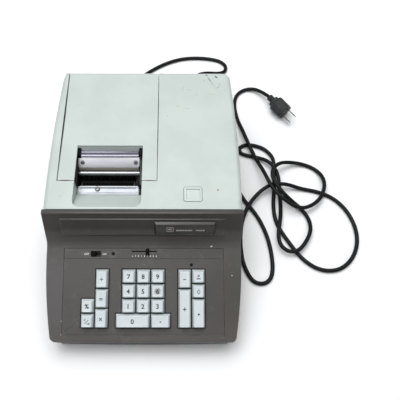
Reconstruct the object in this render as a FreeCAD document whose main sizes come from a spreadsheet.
import FreeCAD, Part

import math
import os
import re

import Sketcher

# Electric printing adding machine: an assembly of separate pieces, in millimetres.
# +X is to the right, +Y to the rear, +Z up; the origin is the middle of the footprint on the table.

SIZES = {
    # body
    "body_length": 371.0, "waist_half": 127.0, "waist_y": -37.6, "rear_half": 121.9, "front_half": 119.0,
    "bezel_front_half": 121.5, "bezel_belly_half": 129.3, "bezel_belly_y": -86.0, "bezel_seam_half": 127.3,
    "front_bow": 1.5, "front_corner": 6.0, "rear_corner": 12.0, "top_z": 128.3, "rim_z": 30.0,
    "shell_wall": 2.8, "edge_round": 6.0, "seam_gap": 0.4,
    # keyboard slope and the steep face above it
    "keys_y": -183.0, "lip_z": 38.0, "slope": 17.65, "keys_end_y": -69.6, "keys_end_z": 74.08,
    "bend_y": -64.7, "bend_z": 76.95, "steep_y": -61.5, "steep_z": 81.64, "steep": 68.5,
    "nose_y": -44.4, "nose_z": 125.0, "ledge_y": -41.6, "steep_wall": 6.0,
    # base pan and fixings
    "pan_inset": 3.2, "pan_wall": 2.5, "pan_bottom": 6.0, "pan_top": 33.0, "foot_radius": 9.0,
    "foot_x": 88.0, "foot_y": 150.0, "screw_x": 112.0, "screw_front_y": -160.0, "screw_mid_y": -20.0,
    "screw_rear_y": 160.0, "boss_radius": 4.0, "screw_radius": 1.6, "head_radius": 3.4,
    # lid and its hinge
    "lid_left": -112.1, "lid_right": 17.3, "lid_front": 3.9, "lid_thick": 3.0, "lid_gap": 0.6,
    "left_gap": 1.3, "hinge_y": 179.5, "hinge_z": 122.3, "pin_radius": 2.0, "running_gap": 0.05,
    "pin_depth": 7.0,
    # paper notch
    "notch_left": -90.4, "notch_right": -2.3, "notch_front": -34.2, "notch_rear": 57.3, "notch_round": 9.0,
    "scoop_foot_y": -6.5, "scoop_foot_z": 106.5,
    # feed button
    "button_left": 52.1, "button_right": 76.2, "button_front": -27.0, "button_rear": -5.4,
    "button_gap": 0.5, "button_round": 3.0,
    # keyboard panel
    "panel_left": -106.0, "panel_right": 105.6, "panel_low": 7.0, "panel_high": 105.0, "strip_high": 119.0,
    "panel_thick": 2.0, "strip_drop": 0.8, "panel_gap": 0.3,
    # keys
    "pitch": 19.05, "side_pitch": 18.1, "left_x": -81.7, "middle_x": -28.9, "right_x": 44.9, "row_s": 15.6,
    "key_gap": 1.2, "well_gap": 1.2, "key_top": 9.0, "key_skirt": 0.8, "key_inset": 2.2, "key_wall": 1.4,
    "key_roof": 1.8, "key_lean": 1.0, "stem_radius": 2.5, "stem_low": -9.0, "plate_high": -4.0,
    "plate_thick": 1.2,
    "switch_high": -3.6, "switch_low": -15.0, "switch_half": 7.0, "spring_radius": 4.3, "board_thick": 1.6,
    # slide switches
    "power_left": -70.7, "power_right": -57.3, "power_low": 107.9, "power_high": 115.3,
    "decimal_left": -16.5, "decimal_right": 17.2, "decimal_s": 115.0, "decimal_x": 4.7,
    # printer
    "frame_left": -93.4, "frame_right": -3.8, "frame_thick": 2.6, "drum_y": 14.0, "drum_z": 91.0,
    "drum_radius": 9.5, "roller_y": 27.0, "roller_z": 105.5, "roller_radius": 4.0, "shaft_radius": 2.0,
    "gear_module": 0.8, "gear_teeth": 36.0, "pinion_teeth": 12.0, "gear_x": 1.5, "gear_width": 4.5,
    "ink_y": 2.0, "ink_z": 81.0, "ink_radius": 5.0, "spindle_y": 118.0, "spindle_z": 80.0,
    "motor_radius": 11.0,
    # cord
    "cord_radius": 3.0, "gland_x": 72.0, "gland_z": 43.0, "gland_radius": 6.5, "relief_length": 27.5,
    "plug_length": 40.0, "plug_roll": 35.0,
}

doc = FreeCAD.newDocument("printing_adding_machine")
sheet = doc.addObject("Spreadsheet::Sheet", "Sizes")
for row, (alias, value) in enumerate(SIZES.items(), start=1):
    sheet.set(f"A{row}", str(value))
    sheet.setAlias(f"A{row}", alias)
doc.recompute()

NO_TURN = FreeCAD.Rotation()
TURNS = {
    "X": FreeCAD.Rotation(FreeCAD.Vector(0, 1, 0), 90),
    "Y": FreeCAD.Rotation(FreeCAD.Vector(1, 0, 0), -90),
    "Z": NO_TURN,
}
SLOPED = {
    "KEYS": ("keys_y", "lip_z", "slope"),
    "FACE": ("steep_y", "steep_z", "steep"),
}
parts = []


def formula(text):
    """A size in words, with each alias addressed through the sheet."""
    def address(word):
        return f"Sizes.{word.group()}" if word.group() in SIZES else word.group()

    return re.sub(r"[A-Za-z_]\w*", address, str(text))


def number(text):
    """What a size comes to."""
    return float(sheet.evalExpression(formula(text)))


def bind(thing, sizes):
    for path, text in sizes.items():
        thing.setExpression(path, formula(text))


def place(thing, x, y, z, turn=NO_TURN):
    thing.Placement = FreeCAD.Placement(FreeCAD.Vector(), turn)
    bind(thing, {"Placement.Base.x": x, "Placement.Base.y": y, "Placement.Base.z": z})
    return thing


def place_sloped(thing, plane, x, up, out):
    """Put a piece on a sloped plane: x across, up along the slope, out away from the face."""
    origin_y, origin_z, angle = SLOPED[plane]
    place(
        thing, x,
        f"{origin_y} + ({up}) * cos({angle}) - ({out}) * sin({angle})",
        f"{origin_z} + ({up}) * sin({angle}) + ({out}) * cos({angle})",
        FreeCAD.Rotation(FreeCAD.Vector(1, 0, 0), number(angle)),
    )
    bind(thing, {"Placement.Rotation.Angle": angle})
    return thing


def box(name, x, y, z, plane=None):
    """A block between pairs of limits, square to the axes or on a sloped plane."""
    thing = doc.addObject("Part::Box", name)
    for side, (low, high) in zip(("Length", "Width", "Height"), (x, y, z)):
        bind(thing, {side: f"({high}) - ({low})"})
    if plane:
        return place_sloped(thing, plane, x[0], y[0], z[0])
    return place(thing, x[0], y[0], z[0])


def rod(name, axis, radius, length, x, y, z):
    """A cylinder along X, Y or Z from its starting point."""
    thing = doc.addObject("Part::Cylinder", name)
    bind(thing, {"Radius": radius, "Height": length})
    return place(thing, x, y, z, TURNS[axis])


def stud(name, plane, radius, x, up, out):
    """A cylinder that stands square to a sloped plane, between two heights."""
    thing = doc.addObject("Part::Cylinder", name)
    bind(thing, {"Radius": radius, "Height": f"({out[1]}) - ({out[0]})"})
    return place_sloped(thing, plane, x, up, out[0])


def cut(name, base, tools):
    for tool in tools:
        result = doc.addObject("Part::Cut", name)
        result.Base, result.Tool = base, tool
        base = result
    return base


def joined(kind, name, pieces):
    result = doc.addObject(kind, name)
    if kind == "Part::Compound":
        result.Links = pieces
    else:
        result.Shapes = pieces
    return result


def fuse(name, pieces):
    return joined("Part::MultiFuse", name, pieces)


def common(name, pieces):
    return joined("Part::MultiCommon", name, pieces)


def group(name, pieces):
    """Several separate solids that share one node."""
    return joined("Part::Compound", name, pieces)


def keep(thing, label):
    thing.Label = label
    parts.append(thing)
    return thing


def pin_point(sketch, index, end, u, v):
    """Hold one point of a sketch at a place given by two sizes."""
    for kind, text in (("DistanceX", u), ("DistanceY", v)):
        row = sketch.addConstraint(Sketcher.Constraint(kind, index, end, number(text)))
        sketch.setExpression(f"Constraints[{row}]", formula(text))


def outline(name, corners):
    """A closed sketch. A corner is (u, v); ("via", u, v) makes the edge before it an arc."""
    sketch = doc.addObject("Sketcher::SketchObject", name)
    stops = [corner for corner in corners if corner[0] != "via"]
    edges = []
    for corner in corners:
        if corner[0] == "via":
            edges[-1] = corner[1:]
        else:
            edges.append(None)
    ends = []
    for place_in_row, (start, through) in enumerate(zip(stops, edges)):
        stop = stops[(place_in_row + 1) % len(stops)]
        first, last = (FreeCAD.Vector(number(u), number(v), 0) for u, v in (start, stop))
        if through is None:
            index = sketch.addGeometry(Part.LineSegment(first, last), False)
        else:
            middle = FreeCAD.Vector(number(through[0]), number(through[1]), 0)
            index = sketch.addGeometry(Part.Arc(first, middle, last), False)
        forward = sketch.Geometry[index].StartPoint.distanceToPoint(first) < 1e-4
        ends.append((index, 1, 2) if forward else (index, 2, 1))
    for (index, _, finish), (following, begin, _) in zip(ends, ends[1:] + ends[:1]):
        sketch.addConstraint(Sketcher.Constraint("Coincident", index, finish, following, begin))
    for (index, begin, _), (u, v) in zip(ends, stops):
        pin_point(sketch, index, begin, u, v)
    for (index, _, _), through in zip(ends, edges):
        if through is not None:
            spot = FreeCAD.Vector(number(through[0]), number(through[1]), 0)
            helper = sketch.addGeometry(Part.Point(spot), True)
            pin_point(sketch, helper, 1, *through)
            sketch.addConstraint(Sketcher.Constraint("PointOnObject", helper, 1, index))
    return sketch


def extrude(name, plane, corners, low, high):
    """An outline made solid: in XY it rises along Z, in YZ it runs along X, in KEYS or FACE it stands out."""
    sketch = outline(f"{name}_outline", corners)
    if plane == "XY":
        place(sketch, "0", "0", low)
    elif plane == "YZ":
        place(sketch, low, "0", "0", FreeCAD.Rotation(FreeCAD.Vector(1, 1, 1), 120))
    else:
        place_sloped(sketch, plane, "0", "0", low)
    solid = doc.addObject("Part::Extrusion", name)
    solid.Base = sketch
    solid.DirMode = "Normal"
    solid.Solid = True
    bind(solid, {"LengthFwd": f"({high}) - ({low})"})
    return solid


def rounded(left, right, low, high, radius):
    """The corners of a rectangle with four equal round corners."""
    cut_in = f"({radius}) * (1 - sqrt(0.5))"
    return [
        (f"({left}) + ({radius})", low), (f"({right}) - ({radius})", low),
        ("via", f"({right}) - {cut_in}", f"({low}) + {cut_in}"), (right, f"({low}) + ({radius})"),
        (right, f"({high}) - ({radius})"),
        ("via", f"({right}) - {cut_in}", f"({high}) - {cut_in}"), (f"({right}) - ({radius})", high),
        (f"({left}) + ({radius})", high),
        ("via", f"({left}) + {cut_in}", f"({high}) - {cut_in}"), (left, f"({high}) - ({radius})"),
        (left, f"({low}) + ({radius})"),
        ("via", f"({left}) + {cut_in}", f"({low}) + {cut_in}"),
    ]


# ---- shells ---------------------------------------------------------------------------------

FRONT = "(0 - body_length / 2)"
REAR = "(body_length / 2)"
LID_LOW = "(top_z - lid_thick)"
LIP = f"(lip_z + ({FRONT} - keys_y) * tan(slope))"
LID_OPENING = ("(lid_left - left_gap)", "(lid_right + lid_gap)")


def plan(inset):
    """The body's outline from above, drawn in by an inset: bowed sides and front, round corners."""
    front, rear = f"({FRONT} + {inset})", f"({REAR} - {inset})"
    side, waist, back = (f"({half} - {inset})" for half in ("front_half", "waist_half", "rear_half"))
    near, far = "front_corner", "rear_corner"
    return [
        (f"0 - {side} + {near}", f"{front} + front_bow"), ("via", "0", front),
        (f"{side} - {near}", f"{front} + front_bow"),
        ("via", f"{side} - 0.29 * {near}", f"{front} + front_bow + 0.26 * {near}"),
        (side, f"{front} + front_bow + {near}"), ("via", waist, "waist_y"),
        (back, f"{rear} - {far}"),
        ("via", f"{back} - 0.29 * {far}", f"{rear} - 0.29 * {far}"), (f"{back} - {far}", rear),
        (f"0 - {back} + {far}", rear),
        ("via", f"0 - {back} + 0.29 * {far}", f"{rear} - 0.29 * {far}"), (f"0 - {back}", f"{rear} - {far}"),
        ("via", f"0 - {waist}", "waist_y"),
        (f"0 - {side}", f"{front} + front_bow + {near}"),
        ("via", f"0 - {side} + 0.29 * {near}", f"{front} + front_bow + 0.26 * {near}"),
    ]


def bezel_plan(inset):
    """The bezel from above: bowed front, round corners, and sides that belly out below the cover."""
    front = f"({FRONT} + {inset})"
    side, belly, seam = (
        f"({half} - {inset})" for half in ("bezel_front_half", "bezel_belly_half", "bezel_seam_half")
    )
    near = "front_corner"
    return [
        (f"0 - {side} + {near}", f"{front} + front_bow"), ("via", "0", front),
        (f"{side} - {near}", f"{front} + front_bow"),
        ("via", f"{side} - 0.29 * {near}", f"{front} + front_bow + 0.26 * {near}"),
        (side, f"{front} + front_bow + {near}"), ("via", belly, "bezel_belly_y"),
        (seam, "waist_y + 6"), (f"0 - {seam}", "waist_y + 6"), ("via", f"0 - {belly}", "bezel_belly_y"),
        (f"0 - {side}", f"{front} + front_bow + {near}"),
        ("via", f"0 - {side} + 0.29 * {near}", f"{front} + front_bow + 0.26 * {near}"),
    ]


def bezel_profile():
    """The bezel from the side: lip, keyboard slope, concave bend, steep face and the ledge at its top."""
    return [
        (f"{FRONT} + 0.8", "rim_z"), (FRONT, f"{LIP} - 2"),
        (f"{FRONT} + 0.4", f"{LIP} - 0.1"), (f"{FRONT} + 2", f"{LIP} + 2 * tan(slope)"),
        ("keys_end_y", "keys_end_z"), ("via", "bend_y", "bend_z"), ("steep_y", "steep_z"),
        ("nose_y", "nose_z"), ("nose_y + 0.5", "top_z - 0.9"), ("ledge_y", "top_z"),
        ("waist_y - seam_gap", "top_z"), ("waist_y - seam_gap", "rim_z"),
    ]


def bezel_hollow():
    """The room inside the bezel, open underneath and behind."""
    wall, steep_wall = "shell_wall", "steep_wall"
    return [
        (f"{FRONT} + {wall} + 0.4", "rim_z - 5"),
        (f"{FRONT} + {wall} + 0.4", f"{LIP} + ({wall} + 0.4) * tan(slope) - {wall} / cos(slope)"),
        (f"keys_end_y + {wall} * sin(slope)", f"keys_end_z - {wall} * cos(slope)"),
        ("via", f"bend_y + 0.8 * {steep_wall}", f"bend_z - 0.3 * {steep_wall}"),
        (f"steep_y + {steep_wall} * sin(steep)", f"steep_z - {steep_wall} * cos(steep)"),
        (f"nose_y + {steep_wall} * sin(steep) - 1.5", f"nose_z - {steep_wall} * cos(steep) - 4"),
        ("waist_y - 2", f"top_z - {wall}"), ("waist_y + 5", f"top_z - {wall}"), ("waist_y + 5", "rim_z - 5"),
    ]


def whole_width(name, corners):
    return extrude(name, "YZ", corners, "0 - waist_half - 5", "waist_half + 5")


def well(name, cluster, from_x, from_s, units_x, units_s, low, high):
    """The space around one block of keys, wider than the keys by the well's gap."""
    origin, pitch = cluster
    spare = "well_gap - key_gap / 2"
    left, near = f"{origin} + ({from_x}) * {pitch}", f"row_s + ({from_s}) * pitch"
    return box(
        name,
        (f"{left} - ({spare})", f"{left} + ({units_x}) * {pitch} + {spare}"),
        (f"{near} - ({spare})", f"{near} + ({units_s}) * pitch + {spare}"),
        (low, high), "KEYS",
    )


LEFT_KEYS = ("left_x", "side_pitch")
MIDDLE_KEYS = ("middle_x", "pitch")
RIGHT_KEYS = ("right_x", "side_pitch")

# name, cluster, start across and start up the slope in pitches, width and depth in pitches
KEYS = [
    ("key_divide", LEFT_KEYS, 1, "8 / 3", 1, "4 / 3"),
    ("key_equals", LEFT_KEYS, 1, "4 / 3", 1, "4 / 3"),
    ("key_multiply", LEFT_KEYS, 1, 0, 1, "4 / 3"),
    ("key_percent", LEFT_KEYS, 0, 1, 1, 1),
    ("key_clear", LEFT_KEYS, 0, 0, 1, 1),
    ("key_7", MIDDLE_KEYS, 0, 3, 1, 1),
    ("key_8", MIDDLE_KEYS, 1, 3, 1, 1),
    ("key_9", MIDDLE_KEYS, 2, 3, 1, 1),
    ("key_4", MIDDLE_KEYS, 0, 2, 1, 1),
    ("key_5", MIDDLE_KEYS, 1, 2, 1, 1),
    ("key_6", MIDDLE_KEYS, 2, 2, 1, 1),
    ("key_1", MIDDLE_KEYS, 0, 1, 1, 1),
    ("key_2", MIDDLE_KEYS, 1, 1, 1, 1),
    ("key_3", MIDDLE_KEYS, 2, 1, 1, 1),
    ("key_0", MIDDLE_KEYS, -0.4, 0, 2.4, 1),
    ("key_point", MIDDLE_KEYS, 2, 0, 1.4, 1),
    ("key_minus", RIGHT_KEYS, 0, "8 / 3", 1, "4 / 3"),
    ("key_plus", RIGHT_KEYS, 0, 0, 1, "8 / 3"),
    ("key_subtotal_mark", RIGHT_KEYS, 1, 3, 1, 1),
    ("key_diamond", RIGHT_KEYS, 1, 2, 1, 1),
    ("key_total", RIGHT_KEYS, 1, 0, 1, 2),
]
WELLS = [
    (LEFT_KEYS, 0, 0, 2, 2), (LEFT_KEYS, 1, 0, 1, 4),
    (MIDDLE_KEYS, -0.4, 0, 3.8, 1), (MIDDLE_KEYS, 0, 0, 3, 4),
    (RIGHT_KEYS, 0, 0, 2, 4),
]
SCREWS = [
    (side, y) for y in ("screw_front_y", "screw_mid_y", "screw_rear_y") for side in ("0 - screw_x", "screw_x")
]


def front_bezel():
    shell = cut("bezel_shell", common("bezel_outer", [
        extrude("bezel_plan", "XY", bezel_plan("0"), "rim_z", "top_z"),
        whole_width("bezel_side", bezel_profile()),
    ]), [common("bezel_inner", [
        extrude("bezel_inner_plan", "XY", bezel_plan("shell_wall"), "rim_z - 5", "top_z"),
        whole_width("bezel_inner_side", bezel_hollow()),
    ])])
    bosses = [
        rod("bezel_boss", "Z", "boss_radius", "35", x, y, "pan_bottom + pan_wall + 0.4")
        for x, y in SCREWS[:2]
    ]
    window = box(
        "panel_window", ("panel_left - panel_gap", "panel_right + panel_gap"),
        ("panel_low - panel_gap", "strip_high + panel_gap"), ("0 - 8", "3"), "KEYS",
    )
    raised = frustum("face_panel", ("0 - 107", "106.7"), ("10", "41.5"), "0 - 1", "1.6", "1.6", "FACE")
    holes = [
        rod("bezel_screw_hole", "Z", "screw_radius", "20", x, y, "pan_bottom") for x, y in SCREWS[:2]
    ]
    keep(cut("bezel", fuse("bezel_solid", [shell, raised] + bosses), [window] + holes), "front_bezel")


def top_edges(solid, height, seam):
    """Numbers of the edges that run round the top at a height, leaving out the one on the seam."""
    found = []
    for index, edge in enumerate(solid.Shape.Edges, start=1):
        middle = edge.valueAt((edge.FirstParameter + edge.LastParameter) / 2)
        level = all(abs(corner.Z - height) < 1e-3 for corner in edge.Vertexes)
        if level and abs(middle.z - height) < 1e-3 and middle.y > seam + 1:
            found.append(index)
    return found


def top_cover():
    body = cut("cover_block", extrude("cover_plan", "XY", plan("0"), "rim_z", "top_z"), [
        box("ahead_of_seam", ("-140", "140"), (f"{FRONT} - 5", "waist_y"), ("0", "140")),
    ])
    doc.recompute()
    rounded_body = doc.addObject("Part::Fillet", "cover_rounded")
    rounded_body.Base = body
    radius = number("edge_round")
    rounded_body.Edges = [
        (index, radius, radius) for index in top_edges(body, number("top_z"), number("waist_y"))
    ]
    hollow = cut("cover_hollow", extrude(
        "cover_inner_plan", "XY", plan("shell_wall"), "rim_z - 5", "top_z - shell_wall"
    ), [box("cover_hollow_front", ("-140", "140"), (f"{FRONT} - 5", "waist_y - 1"), ("0", "140"))])
    shell = cut("cover_shell", rounded_body, [hollow])

    scoop = extrude("scoop_body", "YZ", [
        ("notch_front - 2", "top_z - 1"), ("notch_front - 2", "top_z - 6"),
        ("scoop_foot_y - 2.5", "scoop_foot_z - 5"), ("lid_front - lid_gap", "scoop_foot_z - 5"),
        ("lid_front - lid_gap", "top_z - 1"),
    ], "notch_left - shell_wall", "notch_right + shell_wall")
    ledges = [
        box("lid_ledge", (left, right), (low, high), ("top_z - 6", f"{LID_LOW} - 0.3"))
        for left, right, low, high in (
            ("lid_left - 4", "lid_left + 3", "lid_front - 3", "hinge_y - 12"),
            ("lid_right - 3", "lid_right + 4", "lid_front - 3", "hinge_y - 12"),
            ("lid_left", "notch_left - 2", "lid_front - 3.5", "lid_front + 2.5"),
            ("notch_right + 2", "lid_right", "lid_front - 3.5", "lid_front + 2.5"),
        )
    ]
    ears = [
        box("hinge_ear", (left, right), ("hinge_y - 6", f"{REAR} - 1"), ("hinge_z - 9", "top_z - 2"))
        for left, right in (
            (f"{LID_OPENING[0]} - 5.5", LID_OPENING[0]), (LID_OPENING[1], f"{LID_OPENING[1]} + 5.5")
        )
    ]
    bosses = []
    for x, y in SCREWS[2:]:
        bosses.append(rod("cover_boss", "Z", "boss_radius", "42", x, y, "pan_bottom + pan_wall + 0.4"))
        out = "9.5" if y == "screw_rear_y" else "13.3"
        reach = ("screw_x", f"screw_x + {out}")
        if x.startswith("0"):
            reach = (f"0 - screw_x - {out}", "0 - screw_x")
        bosses.append(box("boss_bridge", reach, (f"{y} - 3", f"{y} + 3"), ("pan_top + 3", "pan_top + 16")))

    notch = common("notch_space", [
        extrude("notch_plan", "XY", rounded(
            "notch_left", "notch_right", "notch_front", "notch_rear", "notch_round"
        ), "90", "140"),
        extrude("notch_side", "YZ", [
            ("notch_front", "140"), ("notch_front", "top_z - 0.6"), ("scoop_foot_y", "scoop_foot_z"),
            ("scoop_foot_y", "95"), ("notch_rear + 5", "95"), ("notch_rear + 5", "140"),
        ], "-100", "10"),
    ])
    lid_opening = box(
        "lid_opening", LID_OPENING, ("lid_front - lid_gap", f"{REAR} + 5"),
        ("hinge_z - edge_round - 0.4", "140"),
    )
    under_lid = [
        box("lid_shelf_space", ("lid_left + 3", "lid_right - 3"), ("notch_rear - 20", "160"), ("100", "140")),
    ]
    button_hole = extrude("button_hole", "XY", rounded(
        "button_left", "button_right", "button_front", "button_rear", "button_round"
    ), "110", "140")
    lamp_hole = rod("lamp_hole", "Z", "1.1", "30", "96.5", "-10.1", "110")
    vents = [
        box("vent", (f"-4 + 7 * {i}", f"-1 + 7 * {i}"), (f"{REAR} - 6", f"{REAR} + 6"), ("62", "98"))
        for i in range(16)
    ]
    gland = rod("gland_hole", "Y", "gland_radius", "20", "gland_x", f"{REAR} - 10", "gland_z")
    holes = [rod("cover_screw_hole", "Z", "screw_radius", "20", x, y, "pan_bottom") for x, y in SCREWS[2:]]
    pins = [
        rod("pin_hole", "X", "pin_radius", "5.5", start, "hinge_y", "hinge_z")
        for start in (f"{LID_OPENING[0]} - 5.5", LID_OPENING[1])
    ]
    opened = cut("cover_opened", shell, [lid_opening])
    solid = fuse("cover_solid", [opened, scoop] + ledges + ears + bosses)
    openings = [notch, button_hole, lamp_hole, gland] + under_lid + vents + holes + pins
    keep(cut("cover", solid, openings), "top_cover")


def base_pan():
    """A shallow tray that the shells sit over, with feet and case screws underneath."""
    tray = cut("pan_tray", extrude("pan_plan", "XY", plan("pan_inset"), "pan_bottom", "pan_top"), [
        extrude("pan_inner", "XY", plan("pan_inset + pan_wall"), "pan_bottom + pan_wall", "pan_top + 5"),
    ])
    holes = [
        rod("pan_screw_hole", "Z", "screw_radius", "pan_wall + 2", x, y, "pan_bottom - 1") for x, y in SCREWS
    ]
    slots = [
        box("pan_slot", (f"-60 + 12 * {i}", f"-56 + 12 * {i}"), ("20", "70"),
            ("pan_bottom - 1", "pan_bottom + 5"))
        for i in range(6)
    ]
    keep(cut("pan", tray, holes + slots), "base_pan")
    feet = [
        rod("foot", "Z", "foot_radius", "pan_bottom", f"{side} * foot_x", f"{end} * foot_y", "0")
        for side in (-1, 1) for end in (-1, 1)
    ]
    keep(group("feet_group", feet), "feet")
    screws = []
    for x, y in SCREWS:
        screws.append(fuse("case_screw", [
            rod("case_screw_head", "Z", "head_radius", "2.2", x, y, "pan_bottom - 2.2"),
            rod("case_screw_shank", "Z", "screw_radius", "14", x, y, "pan_bottom - 0.1"),
        ]))
    keep(group("case_screw_group", screws), "case_screws")


def printer_lid():
    """The lid over the printer: a plate with the rear of the paper notch, a lip and a hinge barrel."""
    plate = cut("lid_plate", box(
        "lid_blank", ("lid_left", "lid_right"), ("lid_front", "hinge_y"), (LID_LOW, "top_z")
    ), [box("lid_notch", ("notch_left", "notch_right"), ("lid_front - 1", "notch_rear"), ("120", "140"))])
    barrel = rod("lid_barrel", "X", "edge_round", "lid_right - lid_left", "lid_left", "hinge_y", "hinge_z")
    lip = extrude("lid_lip", "YZ", [
        ("notch_rear", "top_z - 1"), ("notch_rear + 3", "top_z - 1"), ("notch_rear - 1.3", "top_z - 8.8"),
        ("notch_rear - 3.8", "top_z - 8.8"),
    ], "notch_left", "notch_right")
    ribs = [
        box("lid_rib", (x, f"{x} + 1.6"), ("notch_rear + 6", "150"), (f"{LID_LOW} - 4", f"{LID_LOW} + 1"))
        for x in ("lid_left + 6", "lid_right - 7.6", "lid_left + 63.9")
    ]
    bores = [
        rod("lid_bore", "X", "pin_radius + running_gap", "pin_depth", start, "hinge_y", "hinge_z")
        for start in ("lid_left", "lid_right - pin_depth")
    ]
    keep(cut("lid", fuse("lid_solid", [plate, barrel, lip] + ribs), bores), "printer_lid")
    pins = [
        rod("hinge_pin", "X", "pin_radius", f"({end}) - ({start})", start, "hinge_y", "hinge_z")
        for start, end in (
            (f"{LID_OPENING[0]} - 5.5", "lid_left + pin_depth - 0.5"),
            ("lid_right - pin_depth + 0.5", f"{LID_OPENING[1]} + 5.5"),
        )
    ]
    keep(group("hinge_pin_pair", pins), "hinge_pins")


# ---- keyboard -------------------------------------------------------------------------------

def keyboard_panel():
    cutouts = [well("key_well", *spot, "0 - panel_thick - 1", "3") for spot in WELLS]
    lamp = stud("key_lamp_hole", "KEYS", "1.7", "63", "97.3", ("0 - panel_thick - 1", "1"))
    fascia = box(
        "fascia_blank", ("panel_left", "panel_right"), ("panel_low", "panel_high"),
        ("0 - panel_thick", "0"), "KEYS"
    )
    keep(cut("fascia", fascia, cutouts + [lamp]), "keyboard_fascia")

    top = "0 - strip_drop"
    strip = box(
        "strip_blank", ("panel_left", "panel_right"), ("panel_high + panel_gap", "strip_high"),
        (f"{top} - panel_thick", top), "KEYS",
    )
    power_slot = box(
        "power_slot", ("power_left", "power_right"), ("power_low", "power_high"), ("0 - 6", "1"), "KEYS"
    )
    decimal_slot = box(
        "decimal_slot", ("decimal_left", "decimal_right"), ("decimal_s - 0.8", "decimal_s + 0.8"),
        ("0 - 6", "1"),
        "KEYS",
    )
    strip_lamp = stud("strip_lamp_hole", "KEYS", "1.7", "0 - 40.9", "111.9", ("0 - 6", "1"))
    keep(cut("strip", strip, [power_slot, decimal_slot, strip_lamp]), "control_strip")

    lamps = [
        stud("lamp", "KEYS", "1.6", "63", "97.3", ("plate_high", "0.3")),
        stud("lamp", "KEYS", "1.6", "0 - 40.9", "111.9", ("0 - 7", "0 - strip_drop + 0.3")),
        rod("top_lamp", "Z", "1.0", "14", "96.5", "-10.1", "top_z - 14"),
    ]
    keep(group("lamps", lamps), "indicator_lamps")


def slide_switches():
    power = fuse("power_knob", [
        box("power_grip", ("power_left + 0.4", "power_left + 6.6"), ("power_low + 0.4", "power_high - 0.4"),
            ("0 - 2.6", "1.6"), "KEYS"),
        box("power_stem", ("power_left + 2.4", "power_left + 4.6"), ("power_low + 2.4", "power_high - 2.4"),
            ("0 - 5.5", "0 - 2"), "KEYS"),
    ])
    keep(power, "power_slider")
    decimal = fuse("decimal_knob", [
        box("decimal_grip", ("decimal_x - 1.75", "decimal_x + 1.75"), ("decimal_s - 4.4", "decimal_s + 3.4"),
            ("0.3 - strip_drop", "3"), "KEYS"),
        box("decimal_stem", ("decimal_x - 1.2", "decimal_x + 1.2"), ("decimal_s - 0.5", "decimal_s + 0.5"),
            ("0 - 5.5", "0.5"), "KEYS"),
    ])
    keep(decimal, "decimal_slider")
    power_body = cut("power_body", box(
        "power_block", ("power_left - 3", "power_right + 3"), ("power_low", "power_high"),
        ("0 - 14", "0 - 3.1"),
        "KEYS",
    ), [box("power_track", ("power_left + 1", "power_right - 1"), ("power_low + 2", "power_high - 2"),
            ("0 - 7", "0 - 2"), "KEYS")])
    decimal_body = cut("decimal_body", box(
        "decimal_block", ("decimal_left - 3", "decimal_right + 3"), ("decimal_s - 3.5", "decimal_s + 3.5"),
        ("0 - 13", "0 - 3.1"), "KEYS",
    ), [box("decimal_track", ("decimal_left", "decimal_right"), ("decimal_s - 0.9", "decimal_s + 0.9"),
            ("0 - 7", "0 - 2"), "KEYS")])
    deep = ("button_front + 5", "button_rear - 5")
    feed_body = cut("feed_body", fuse("feed_solid", [
        box("feed_block", ("button_left + 5", "button_right - 5"), deep, ("100", "114")),
        box("feed_floor", ("button_left - 4", "button_right + 4"), deep, ("100", "102")),
        box("feed_left", ("button_left - 4", "button_left - 2"), deep, ("100", "top_z - shell_wall - 0.1")),
        box("feed_right", ("button_right + 2", "button_right + 4"), deep,
            ("100", "top_z - shell_wall - 0.1")),
    ]), [rod("feed_track", "Z", "2.9", "10", BUTTON_X, BUTTON_Y, "106")])
    keep(group("switch_bodies", [power_body, decimal_body, feed_body]), "panel_switches")


BUTTON_X = "(button_left + button_right) / 2"
BUTTON_Y = "(button_front + button_rear) / 2"


def feed_button():
    edge = "button_gap"
    pad = cut("button_pad", extrude("button_blank", "XY", rounded(
        f"button_left + {edge}", f"button_right - {edge}", f"button_front + {edge}", f"button_rear - {edge}",
        f"button_round - {edge}",
    ), "top_z - 4.5", "top_z + 0.3"), [
        box("button_dish", ("55.8", "73.4"), ("0 - 23.6", "0 - 8.8"), ("top_z - 0.6", "top_z + 2")),
    ])
    stem = rod("button_stem", "Z", "stem_radius", "16", BUTTON_X, BUTTON_Y, "110")
    keep(fuse("button", [pad, stem]), "feed_button")


def frustum(name, x, up, low, high, inset, plane="KEYS", lean="0"):
    """A block whose top is drawn in on all sides, and leant down the slope, standing on a sloped plane."""
    thing = doc.addObject("Part::Wedge", name)
    width, depth = f"(({x[1]}) - ({x[0]}))", f"(({up[1]}) - ({up[0]}))"
    bind(thing, {
        "Xmin": "0", "Xmax": width, "X2min": inset, "X2max": f"{width} - ({inset})",
        "Zmin": "0", "Zmax": depth, "Z2min": f"{inset} + {lean}", "Z2max": f"{depth} - ({inset}) + {lean}",
        "Ymin": "0", "Ymax": f"({high}) - ({low})",
    })
    origin_y, origin_z, angle = SLOPED[plane]
    place_sloped(thing, plane, x[0], up[1], low)
    quarter = FreeCAD.Rotation(FreeCAD.Vector(1, 0, 0), number(angle) + 90)
    thing.Placement = FreeCAD.Placement(thing.Placement.Base, quarter)
    bind(thing, {"Placement.Rotation.Angle": f"{angle} + 90"})
    return thing


def key_centre(cluster, from_x, from_s, units_x, units_s):
    origin, pitch = cluster
    x = f"({origin} + (({from_x}) + ({units_x}) / 2) * {pitch})"
    return x, f"(row_s + (({from_s}) + ({units_s}) / 2) * pitch)"


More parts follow.
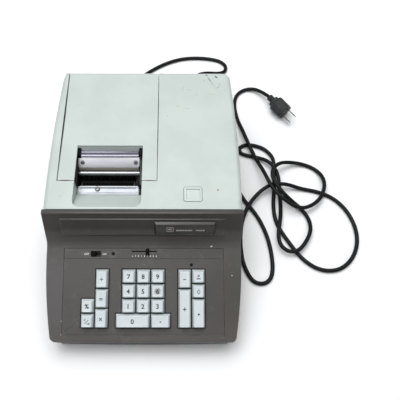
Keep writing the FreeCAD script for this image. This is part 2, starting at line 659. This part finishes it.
def key(label, cluster, from_x, from_s, units_x, units_s):
    origin, pitch = cluster
    half = "key_gap / 2"
    x = (f"{origin} + ({from_x}) * {pitch} + {half}",
        f"{origin} + (({from_x}) + ({units_x})) * {pitch} - {half}")
    up = (f"row_s + ({from_s}) * pitch + {half}", f"row_s + (({from_s}) + ({units_s})) * pitch - {half}")
    cap = frustum("key_cap", x, up, "key_skirt", "key_top", "key_inset", lean="key_lean")
    inner_x, inner_up = ((f"{low} + key_wall", f"{high} - key_wall") for low, high in (x, up))
    room = frustum(
        "key_room", inner_x, inner_up, "key_skirt - 0.01", "key_top - key_roof", "key_inset",
        lean="key_lean * 0.8"
    )
    middle = key_centre(cluster, from_x, from_s, units_x, units_s)
    stem = stud("key_stem", "KEYS", "stem_radius", *middle, ("stem_low", "key_top - key_roof + 0.5"))
    keep(fuse("key", [cut("key_shell", cap, [room]), stem]), label)


def keyboard():
    for spot in KEYS:
        key(*spot)
    centres = [key_centre(*spot[1:]) for spot in KEYS]
    half = "switch_half"
    plate = box(
        "plate_blank", ("panel_left + 6", "panel_right - 6"), ("panel_low + 3", "panel_high - 4"),
        ("plate_high - plate_thick", "plate_high"), "KEYS",
    )
    openings = [box(
        "switch_opening", (f"{x} - {half} - 0.2", f"{x} + {half} + 0.2"),
        (f"{up} - {half} - 0.2", f"{up} + {half} + 0.2"),
        ("plate_high - plate_thick - 1", "plate_high + 1"), "KEYS",
    ) for x, up in centres]
    keep(cut("plate", plate, openings), "key_plate")
    switches = [cut("switch", box(
        "switch_block", (f"{x} - {half}", f"{x} + {half}"), (f"{up} - {half}", f"{up} + {half}"),
        ("switch_low", "switch_high"), "KEYS",
    ), [stud("switch_bore", "KEYS", "stem_radius + 0.3", x, up, ("stem_low - 4.5", "switch_high + 1"))])
        for x, up in centres]
    keep(group("switch_group", switches), "key_switches")
    springs = [cut("spring", stud(
        "spring_outer", "KEYS", "spring_radius", x, up, ("switch_high", "key_top - key_roof - 0.3")
    ), [stud("spring_inner", "KEYS", "spring_radius - 0.9", x, up, ("switch_high - 1", "key_top"))])
        for x, up in centres]
    keep(group("spring_group", springs), "key_springs")


def circuit_boards():
    """The keyboard's board under its switches, and the main board with its parts on the pan."""
    key_board = box(
        "key_board", ("panel_left + 8", "panel_right - 8"), ("panel_low + 7", "panel_high - 6"),
        ("switch_low - board_thick", "switch_low"), "KEYS",
    )
    board_top = "(20 + board_thick)"
    pieces = [cut("main_board", box("board_plate", ("0", "104"), ("-28", "76"), ("20", board_top)), [
        box("board_slot", ("23", "37"), ("drum_y - 5", "drum_y + 5"), ("19", "23")),
    ])]
    posts = [
        rod("board_post", "Z", "3", "20 - pan_bottom - pan_wall", x, y, "pan_bottom + pan_wall")
        for x in ("5", "99") for y in ("-23", "71")
    ]
    chips = [
        box("chip", (f"4 + 34 * {column}", f"22 + 34 * {column}"), (f"-20 + 20 * {row}", f"-12 + 20 * {row}"),
            (f"{board_top} - 0.1", f"{board_top} + 4"))
        for column in range(3) for row in range(4)
    ]
    cans = [rod("capacitor", "Z", "6", "24.1", x, "68", f"{board_top} - 0.1") for x in ("16", "34", "52")]
    main = fuse("main_board_solid", pieces + posts + chips + cans)
    keep(group("boards", [key_board, main]), "circuit_boards")


def transformer():
    core = box("core", ("30", "88"), ("108", "150"), ("pan_bottom + pan_wall", "62"))
    coil = box("coil", ("40", "78"), ("98", "160"), ("pan_bottom + pan_wall + 8", "54"))
    tabs = box("core_tabs", ("20", "98"), ("122", "136"),
        ("pan_bottom + pan_wall", "pan_bottom + pan_wall + 2"))
    keep(fuse("transformer_solid", [core, coil, tabs]), "transformer")


def nameplate():
    plinth = frustum("plinth", ("14.4", "93.4"), ("14.2", "36.6"), "1.6", "5.8", "2.2", "FACE")
    face = box("plate_face", ("17.6", "90.2"), ("17.4", "33.4"), ("5.3", "7"), "FACE")
    keep(cut("bar", plinth, [face]), "nameplate_bar")


# ---- printer --------------------------------------------------------------------------------

def printer_frame():
    right_plate = "frame_right - frame_thick"
    bed = fuse("bed", [
        box("bed_plate", ("frame_left", "frame_right"), ("-10", "62"), ("58", "61")),
    ] + [
        rod("bed_post", "Z", "4", "50", x, y, "pan_bottom + pan_wall")
        for x in ("frame_left + 5", "frame_right - 5") for y in ("-5", "57")
    ])
    keep(bed, "printer_bed")
    side = [
        ("-10", "61"), ("-10", "100.5"), ("4.5", "100.5"), ("8", "109"), ("30", "113"), ("42", "117.5"),
        ("44", "121.5"), ("53", "121.5"), ("53", "112"), ("62", "108"), ("62", "61"),
    ]
    plates = []
    for low in ("frame_left", right_plate):
        plate = extrude("frame_plate", "YZ", side, low, f"{low} + frame_thick")
        plates.append(cut("frame_side", plate, [
            rod("frame_bore", "X", "shaft_radius + running_gap", "8", f"{low} - 2", y, z)
            for y, z in (("drum_y", "drum_z"), ("roller_y", "roller_z"), ("ink_y", "ink_z"))
        ]))
    keep(group("frame_plates", plates), "printer_side_frames")


INSIDE = ("frame_left + frame_thick + 0.3", "frame_right - frame_thick - 0.3")


SCREW_TILT = FreeCAD.Rotation(FreeCAD.Vector(1, 0, 0), 24.4)
GUIDE_SCREWS = [("-84.1", "38.4", "115.9", SCREW_TILT), ("-12.1", "38.4", "115.9", SCREW_TILT)]
GUARD_SCREW = ("-62.7", "2.3", "106.55", NO_TURN)


def screw_disc(name, spot, radius, height):
    disc = doc.addObject("Part::Cylinder", name)
    bind(disc, {"Radius": radius, "Height": height})
    return place(disc, *spot)


def paper_path():
    """What shows through the notch: tear bar, guide plate with its screws, and the front guard."""
    tear = extrude("tear", "YZ", [
        ("46.8", "117.4"), ("45.2", "119.4"), ("52", "122.6"), ("52.6", "120.2"),
    ], *INSIDE)
    keep(tear, "tear_bar")
    guide = extrude("guide", "YZ", [
        ("31.9", "113"), ("32.5", "111.5"), ("43.6", "116.5"), ("43.6", "99"), ("45.1", "99"),
        ("45.1", "118.2"),
        ("44.2", "118.6"),
    ], *INSIDE)
    seats = [screw_disc("guide_seat", spot, "3.15", "4") for spot in GUIDE_SCREWS]
    keep(cut("guide_plate", guide, seats), "paper_guide")
    channel = extrude("guard_channel", "YZ", [
        ("0.2", "106.2"), ("0.2", "109"), ("4.4", "109"), ("4.4", "106.9"),
    ], "frame_left + 6", "notch_right - 7")
    guard = cut("guard", extrude("guard_blank", "YZ", [
        ("-5.8", "104.2"), ("-5.8", "105.8"), ("6.9", "107.8"), ("7.7", "106.9"), ("7.4", "105.6"),
    ], *INSIDE), [channel, screw_disc("guard_seat", GUARD_SCREW, "3.15", "4")])
    keep(guard, "front_guard")
    heads = [screw_disc("screw_head", spot, "3.1", "1.6") for spot in GUIDE_SCREWS + [GUARD_SCREW]]
    keep(group("screw_heads", heads), "printer_screws")


def turning(label, y, z, radius, from_x, to_x, shaft_from, shaft_to, rings=()):
    body = rod(f"{label}_body", "X", radius, f"({to_x}) - ({from_x})", from_x, y, z)
    shaft = rod(f"{label}_shaft", "X", "shaft_radius", f"({shaft_to}) - ({shaft_from})", shaft_from, y, z)
    keep(fuse(f"{label}_solid", [body, shaft] + list(rings)), label)


def rollers():
    start, stop = "frame_left + frame_thick + 0.8", "frame_right - frame_thick - 0.8"
    ends = ("frame_left - 0.8", "frame_right + 0.8")
    turning("feed_roller", "roller_y", "roller_z", "roller_radius", start, stop, *ends)
    turning("ink_roller", "ink_y", "ink_z", "ink_radius", "-84", "-14", *ends)
    rings = [
        rod("type_ring", "X", "drum_radius", "2.4", f"-86 + 3.72 * {i}", "drum_y",
            "drum_z") for i in range(20)
    ]
    turning(
        "print_drum", "drum_y", "drum_z", "drum_radius - 1", "-86.5", "-12.5", "frame_left - 0.8",
        "gear_x + gear_width", rings,
    )


def gear(name, teeth, y, z, turn_degrees, bore):
    """A spur gear on an X axis: a disc with one tooth repeated round it."""
    pitch_radius = f"(gear_module * {teeth} / 2)"
    root, tip = f"({pitch_radius} - 1.15 * gear_module)", f"({pitch_radius} + 0.8 * gear_module)"
    body = doc.addObject("PartDesign::Body", name)
    flat = next(item for item in body.Origin.OriginFeatures if item.Role == "XY_Plane")

    def sketch_on_flat(label):
        sketch = body.newObject("Sketcher::SketchObject", label)
        sketch.AttachmentSupport = [(flat, "")]
        sketch.MapMode = "FlatFace"
        return sketch

    disc = sketch_on_flat(f"{name}_disc")
    for radius in (root, bore):
        circle = disc.addGeometry(Part.Circle(FreeCAD.Vector(), FreeCAD.Vector(0, 0, 1),
            number(radius)), False)
        disc.addConstraint(Sketcher.Constraint("Coincident", circle, 3, -1, 1))
        row = disc.addConstraint(Sketcher.Constraint("Radius", circle, number(radius)))
        disc.setExpression(f"Constraints[{row}]", formula(radius))
    blank = body.newObject("PartDesign::Pad", f"{name}_blank")
    blank.Profile = disc
    bind(blank, {"Length": "gear_width"})

    tooth_sketch = sketch_on_flat(f"{name}_tooth")
    foot, crest = "0.82 * gear_module", "0.36 * gear_module"
    corners = [
        (f"{root} - 0.4", f"0 - {foot}"), (tip, f"0 - {crest}"), (tip, crest), (f"{root} - 0.4", foot)
    ]
    points = [FreeCAD.Vector(number(u), number(v), 0) for u, v in corners]
    for index, point in enumerate(points):
        tooth_sketch.addGeometry(Part.LineSegment(point, points[(index + 1) % 4]), False)
    for index, (u, v) in enumerate(corners):
        tooth_sketch.addConstraint(Sketcher.Constraint("Coincident", index, 2, (index + 1) % 4, 1))
    for index, (u, v) in enumerate(corners):
        pin_point(tooth_sketch, index, 1, u, v)
    tooth = body.newObject("PartDesign::Pad", f"{name}_one_tooth")
    tooth.Profile = tooth_sketch
    bind(tooth, {"Length": "gear_width"})
    doc.recompute()
    ring = body.newObject("PartDesign::PolarPattern", f"{name}_teeth")
    ring.Originals = [tooth]
    ring.Axis = (tooth_sketch, ["N_Axis"])
    ring.Angle = 360
    ring.Occurrences = int(number(teeth))
    body.Tip = ring
    upright = FreeCAD.Rotation(FreeCAD.Vector(0, 1, 0), 90)
    spun = FreeCAD.Rotation(FreeCAD.Vector(1, 0, 0), turn_degrees)
    place(body, "gear_x", y, z, spun.multiply(upright))
    return body


def printer_drive():
    spread = "(gear_module * (gear_teeth + pinion_teeth) / 2)"
    keep(gear("drum_gear_body", "gear_teeth", "drum_y", "drum_z", 0, "shaft_radius"), "drum_gear")
    pinion_z = f"drum_z - {spread}"
    wheel = gear("pinion_body", "pinion_teeth", "drum_y", pinion_z, 15, "1.5")
    spindle = rod("motor_shaft", "X", "1.5", "gear_width + 8", "gear_x", "drum_y", pinion_z)
    keep(fuse("pinion_on_shaft", [wheel, spindle]), "motor_pinion")
    case = rod("motor_case", "X", "motor_radius", "42", "gear_x + gear_width + 2", "drum_y", pinion_z)
    bore = rod("motor_bore", "X", "1.5 + running_gap", "8", "gear_x + gear_width + 1", "drum_y", pinion_z)
    foot = box(
        "motor_foot", ("24", "36"), ("drum_y - 4", "drum_y + 4"), ("pan_bottom + pan_wall", f"{pinion_z} - 8")
    )
    keep(cut("motor", fuse("motor_solid", [case, foot]), [bore]), "printer_motor")
    bank = fuse("bank", [
        box("hammer_block", ("-84", "-13"), ("28", "42"), ("80", "97.5")),
        box("hammer_foot", ("-80", "-17"), ("32", "40"), ("61", "81")),
    ] + [
        box("hammer", (f"-82.8 + 3.72 * {i}", f"-80.8 + 3.72 * {i}"), ("25.2", "29"), ("88", "94"))
        for i in range(18)
    ])
    keep(bank, "hammer_bank")


def paper_store():
    """Two notched arms on a floor plate, and the spindle that a roll of paper turns on."""
    arms = [
        box("cradle_arm", (x, f"{x} + 2.5"), ("spindle_y - 14", "spindle_y + 14"), ("60", "spindle_z + 10"))
        for x in ("-94", "-2.5")
    ]
    floor = box("cradle_floor", ("-94", "0"), ("74", "160"), ("58", "60.5"))
    legs = [
        rod("cradle_leg", "Z", "3.5", "49.8", x, y, "pan_bottom + pan_wall")
        for x in ("-88", "-6") for y in ("80", "154")
    ]
    slots = [
        box("spindle_slot", ("-96", "2"), ("spindle_y - 3 - running_gap", "spindle_y + 3 + running_gap"),
            ("spindle_z", "spindle_z + 20")),
        rod("spindle_seat", "X", "3 + running_gap", "98", "-96", "spindle_y", "spindle_z"),
    ]
    keep(cut("cradle", fuse("cradle_solid", arms + [floor] + legs), slots), "paper_cradle")
    keep(fuse("spindle", [
        rod("spindle_rod", "X", "3", "99", "-96.5", "spindle_y", "spindle_z"),
        rod("spindle_core", "X", "6", "86", "-90", "spindle_y", "spindle_z"),
    ]), "paper_spindle")


# ---- mains cord -----------------------------------------------------------------------------

FLOOR = 3.2      # the middle of the cord where it lies on the table
OVER = 10.0      # where it passes over one strand
HIGH = 13.5      # where it passes over two
TOP = 20.5       # where it passes over the pile
PLUG_DROP = 13.2

# The middle of the cord, from the strain relief to the plug: corners that its curve rounds off.
CORD_ROUTE = [
    (72, 213, 43), (72, 238, 42), (80, 266, 30), (99, 283, 14), (119, 288, 6),
    (132, 296, FLOOR), (133, 309, FLOOR), (122, 320, FLOOR), (103, 325, FLOOR), (80, 327, FLOOR),
    (54, 325, FLOOR), (24, 314, FLOOR),
    (-8, 292, FLOOR), (-32, 266, FLOOR), (-32, 231, FLOOR), (-4, 208, FLOOR), (40, 202, FLOOR),
    (88, 206, FLOOR), (123, 196, FLOOR), (134, 168, FLOOR), (131, 136, FLOOR), (131, 102, FLOOR),
    (136, 70, FLOOR),
    # out from beside the machine and round the left loop
    (147, 40, FLOOR), (167, 13, FLOOR), (180, -20, FLOOR), (185, -56, FLOOR), (183, -84, FLOOR),
    (173, -96, FLOOR), (158, -96, FLOOR), (148, -85, FLOOR), (139, -58, FLOOR), (140, -10, FLOOR),
    (150, 20, OVER), (168, 45, OVER), (190, 61, HIGH), (214, 62, HIGH), (240, 58, FLOOR),
    # the big loop to the right
    (267, 53, FLOOR), (293, 39, FLOOR), (311, 12, FLOOR), (317, -22, FLOOR), (307, -54, FLOOR),
    (283, -76, FLOOR), (253, -77, FLOOR), (228, -59, FLOOR), (210, -30, FLOOR), (195, -2, FLOOR),
    (193, 28, FLOOR), (198, 60, FLOOR), (200, 90, FLOOR),
    # the narrow loop beside the machine
    (202, 115, FLOOR), (189, 132, FLOOR), (173, 139, FLOOR), (161, 140, FLOOR), (152, 138, FLOOR),
    (146, 132, FLOOR), (148, 124, FLOOR), (157, 120, FLOOR), (174, 116, FLOOR), (193, 105, OVER),
    (205, 83, OVER), (206, 54, FLOOR),
    # down again to the small front loop
    (205, 26, FLOOR), (201, 2, OVER), (195, -23, OVER), (197, -40, OVER), (208, -50, OVER),
    (222, -49, OVER), (233, -38, OVER), (245, -18, OVER), (247, 5, FLOOR), (236, 24, FLOOR), (217, 35, HIGH),
    # over the pile, round the right-hand circle and back
    (198, 55, TOP), (191, 77, TOP), (203, 95, TOP), (225, 103, OVER), (250, 103, FLOOR),
    (271, 91, FLOOR), (278, 68, OVER), (270, 42, OVER), (252, 24, HIGH), (231, 18, HIGH),
    # over the pile again and away to the plug
    (208, 30, TOP), (190, 52, TOP), (181, 79, TOP), (172, 107, OVER), (162, 136, OVER),
    (154, 163, OVER), (147, 190, FLOOR), (143, 218, FLOOR), (147, 243, FLOOR), (166, 257, FLOOR),
    (188, 251, 8), (203, 231, PLUG_DROP),
]


def cord_path(route):
    """Straight runs joined by tangent arcs, each as large as its two runs allow."""
    points = [FreeCAD.Vector(*point) for point in route]
    edges, radii, start = [], [], points[0]
    for before, corner, after in zip(points, points[1:], points[2:]):
        back, on = (before - corner), (after - corner)
        reach = 0.45 * min(back.Length, on.Length)
        back.normalize()
        on.normalize()
        half_turn = (math.pi - back.getAngle(on)) / 2
        radius = reach / math.tan(half_turn)
        inward = (back + on).normalize()
        middle = corner + inward * (math.hypot(radius, reach) - radius)
        edges.append(Part.LineSegment(start, corner + back * reach).toShape())
        edges.append(Part.Arc(corner + back * reach, middle, corner + on * reach).toShape())
        start = corner + on * reach
        radii.append(radius)
    edges.append(Part.LineSegment(start, points[-1]).toShape())
    return Part.Wire(edges), radii


def power_cord():
    radius = number("cord_radius")
    path, radii = cord_path(CORD_ROUTE)
    print(f"cord bends from {min(radii):.0f} mm")
    first = FreeCAD.Vector(*CORD_ROUTE[1]) - FreeCAD.Vector(*CORD_ROUTE[0])
    ring = Part.Wire([Part.makeCircle(radius, FreeCAD.Vector(*CORD_ROUTE[0]), first)])
    tube = path.makePipeShell([ring], True, False)
    expected = math.pi * radius ** 2 * path.Length
    print(f"cord length {path.Length:.0f} mm, volume ratio {tube.Volume / expected:.4f}, "
          f"lowest {path.BoundBox.ZMin - radius:.2f} mm")
    if abs(tube.Volume / expected - 1) > 0.01 or path.BoundBox.ZMin < radius:
        raise RuntimeError("the cord's tube is wrong")
    cord = doc.addObject("Part::Feature", "cord_tube")
    cord.Shape = tube
    keep(cord, "power_cord")


def strain_relief():
    wall = f"{REAR} - shell_wall"
    taper = doc.addObject("Part::Cone", "relief_taper")
    bind(taper, {"Radius1": "gland_radius + 1", "Radius2": "cord_radius + 1", "Height": "relief_length - 2"})
    place(taper, "gland_x", f"{REAR} + 2", "gland_z", TURNS["Y"])
    keep(fuse("relief", [
        taper,
        rod("relief_collar", "Y", "gland_radius + 2.5", "2", "gland_x", REAR, "gland_z"),
        rod("relief_neck", "Y", "gland_radius", "shell_wall", "gland_x", wall, "gland_z"),
        rod("relief_flange", "Y", "gland_radius + 2.5", "2.5", "gland_x", f"{wall} - 2.5", "gland_z"),
    ]), "strain_relief")


def plug():
    """A moulded two-blade plug in its own frame along X, then laid on the table at the cord's end."""
    steps = [
        ("0", "10", "5.8", "5.8", "4.5"), ("7", "18", "9.2", "7.6", "5"),
        ("15", "plug_length", "13", "10", "7"),
    ]
    mould = fuse("plug_mould", [
        extrude("plug_step", "YZ", rounded(f"0 - {half}", half, f"0 - {tall}", tall, corner), low, high)
        for low, high, half, tall, corner in steps
    ])
    blades = group("plug_blades", [
        box("blade", ("plug_length", "plug_length + 18"), (f"{side} * 6.35 - 0.75", f"{side} * 6.35 + 0.75"),
            ("0 - 3.2", "3.2"))
        for side in (-1, 1)
    ])
    last, before = (FreeCAD.Vector(*point) for point in (CORD_ROUTE[-1], CORD_ROUTE[-2]))
    heading = math.degrees(math.atan2(last.y - before.y, last.x - before.x))
    lie = FreeCAD.Rotation(FreeCAD.Vector(0, 0, 1), heading)
    lie = lie.multiply(FreeCAD.Rotation(FreeCAD.Vector(1, 0, 0), number("plug_roll")))
    for thing in (mould, blades):
        thing.Placement = FreeCAD.Placement(last, lie)
    keep(mould, "plug_body")
    keep(blades, "plug_blades")


# ---- build, check and write -----------------------------------------------------------------

base_pan()
top_cover()
front_bezel()
printer_lid()
keyboard_panel()
slide_switches()
feed_button()
keyboard()
nameplate()
circuit_boards()
transformer()
printer_frame()
paper_path()
rollers()
printer_drive()
paper_store()
strain_relief()
power_cord()
plug()
doc.recompute()

for thing in doc.Objects:
    if "Invalid" in thing.State or "Error" in thing.State:
        raise RuntimeError(f"{thing.Label} failed: {thing.State}")
for thing in parts:
    if thing.Shape.isNull() or not thing.Shape.isValid() or not thing.Shape.Solids:
        raise RuntimeError(f"{thing.Label} has no sound shape")

os.makedirs("parts", exist_ok=True)
for thing in parts:
    thing.Shape.exportStep(f"parts/{thing.Label}.step")
print(len(parts), "parts written")
